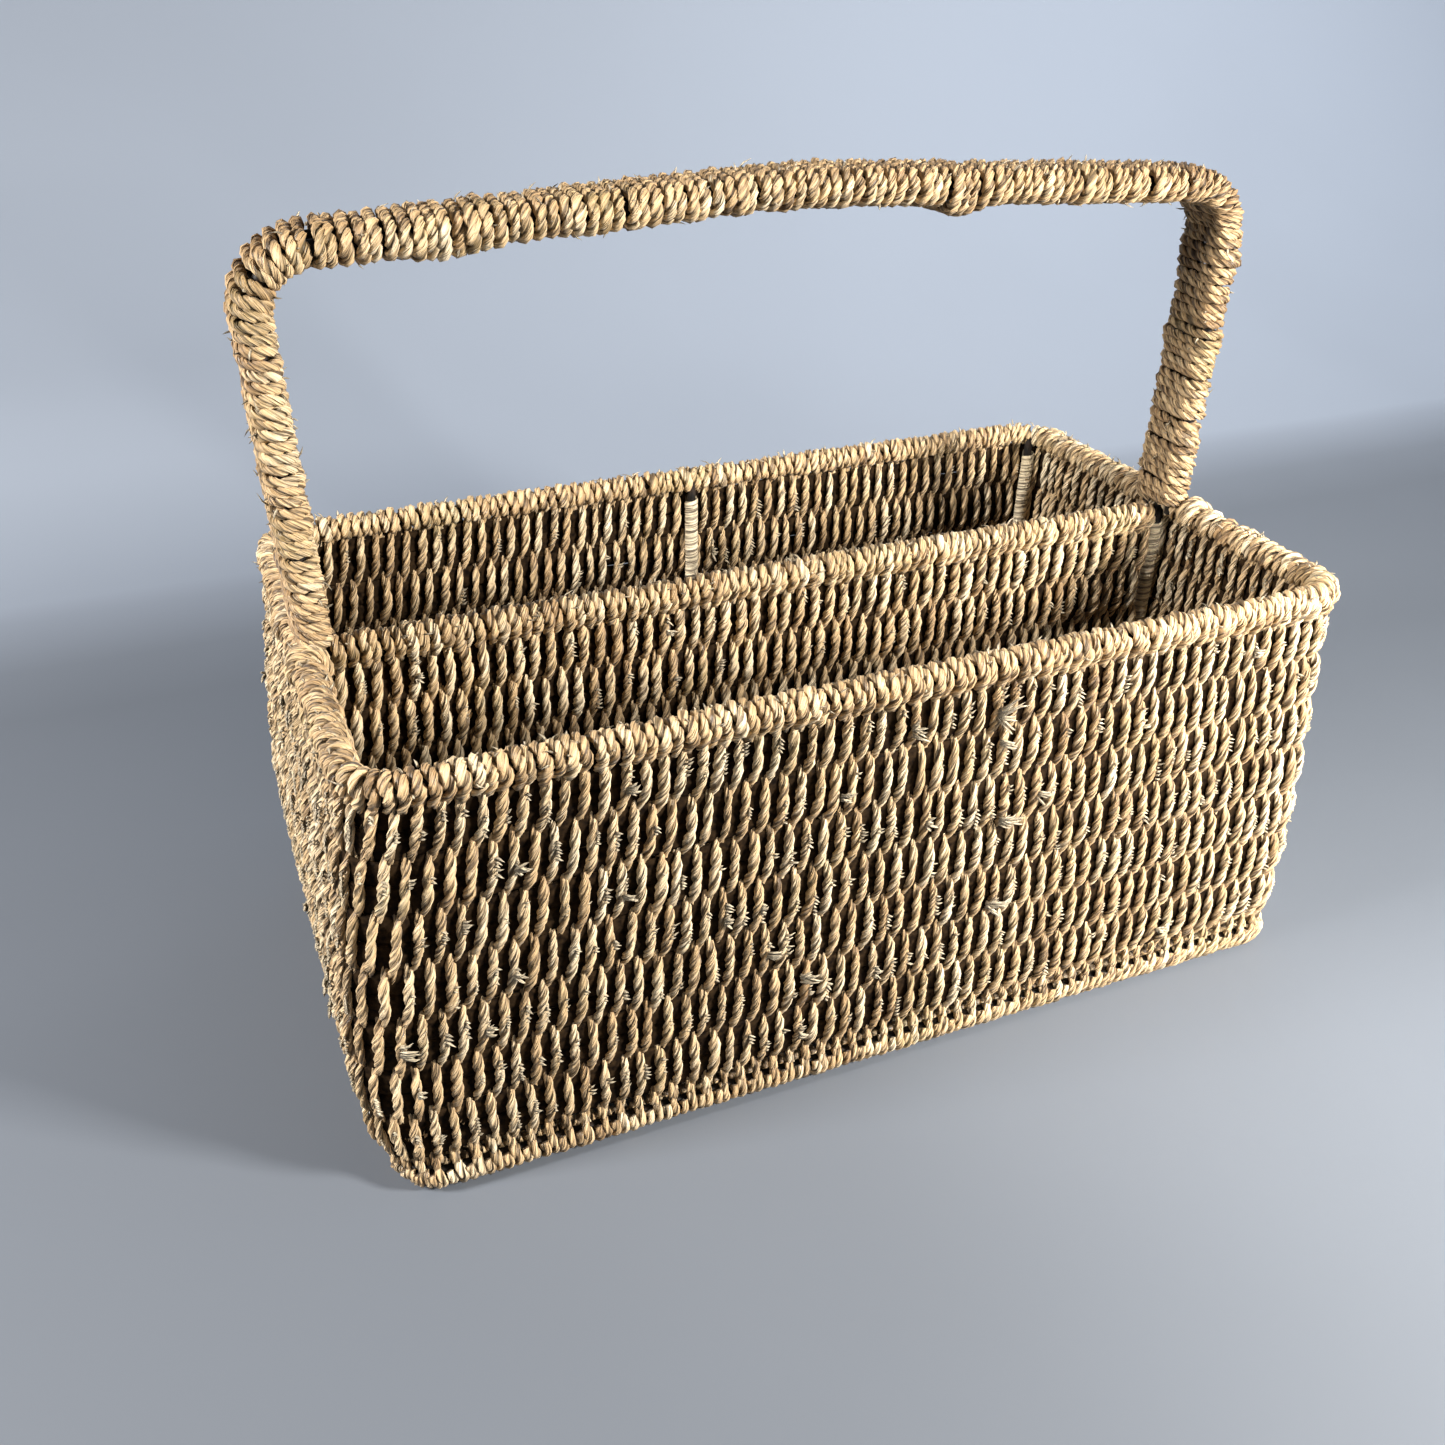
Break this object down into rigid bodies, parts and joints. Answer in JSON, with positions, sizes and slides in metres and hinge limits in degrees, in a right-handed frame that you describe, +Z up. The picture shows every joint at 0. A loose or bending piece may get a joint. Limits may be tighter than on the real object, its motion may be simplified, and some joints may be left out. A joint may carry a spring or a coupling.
{
  "type": "storage basket",
  "caption": "Rectangular seagrass storage basket with a centre divider and a fixed arched bail handle, woven and wrapped with cord over a wire frame.",
  "frame": {"origin": "centre of the underside, on the surface that the basket stands on", "axes": "+X along the length, +Y to the back, +Z up"},
  "size_m": [0.4134, 0.2378, 0.3335],
  "materials": {
    "seagrass_weave": "twisted seagrass cord, woven, matt with a slight straw sheen",
    "seagrass_rim_cord": "twisted seagrass cord wound over wire, matt with a slight straw sheen",
    "seagrass_handle_cord": "twisted seagrass cord wound tightly over two rods",
    "seagrass_leaf_wrap": "flat pale seagrass leaf wound round a post",
    "frame_wire": "black painted steel wire"
  },
  "bodies": {
    "root": {"rim_wire": "frame_wire", "base_wire": "frame_wire", "corner_front_left_post": "frame_wire", "corner_back_left_post": "frame_wire", "corner_front_right_post": "frame_wire", "corner_back_right_post": "frame_wire", "end_left_post": "frame_wire", "end_right_post": "frame_wire", "mid_front_post": "frame_wire", "mid_back_post": "frame_wire", "divider_top_wire": "frame_wire", "divider_bottom_wire": "frame_wire", "floor_cross_wire_left": "frame_wire", "floor_cross_wire_middle": "frame_wire", "floor_cross_wire_right": "frame_wire", "handle_rod_front": "frame_wire", "handle_rod_back": "frame_wire", "corner_front_left_post_wrap": "seagrass_leaf_wrap", "corner_back_left_post_wrap": "seagrass_leaf_wrap", "corner_front_right_post_wrap": "seagrass_leaf_wrap", "corner_back_right_post_wrap": "seagrass_leaf_wrap", "end_left_post_wrap": "seagrass_leaf_wrap", "end_right_post_wrap": "seagrass_leaf_wrap", "mid_front_post_wrap": "seagrass_leaf_wrap", "mid_back_post_wrap": "seagrass_leaf_wrap", "wall_front": "seagrass_weave", "wall_back": "seagrass_weave", "wall_left": "seagrass_weave", "wall_right": "seagrass_weave", "divider_panel": "seagrass_weave", "floor_panel": "seagrass_weave", "rim_wrap_front": "seagrass_rim_cord", "rim_wrap_back": "seagrass_rim_cord", "rim_wrap_left": "seagrass_rim_cord", "rim_wrap_right": "seagrass_rim_cord", "divider_rim_wrap": "seagrass_rim_cord", "base_edge_front": "seagrass_rim_cord", "base_edge_back": "seagrass_rim_cord", "base_edge_left": "seagrass_rim_cord", "base_edge_right": "seagrass_rim_cord", "handle_wrap_bar": "seagrass_handle_cord", "handle_wrap_left": "seagrass_handle_cord", "handle_wrap_right": "seagrass_handle_cord", "handle_lashing_left": "seagrass_handle_cord", "handle_lashing_right": "seagrass_handle_cord"}
  },
  "joints": []
}
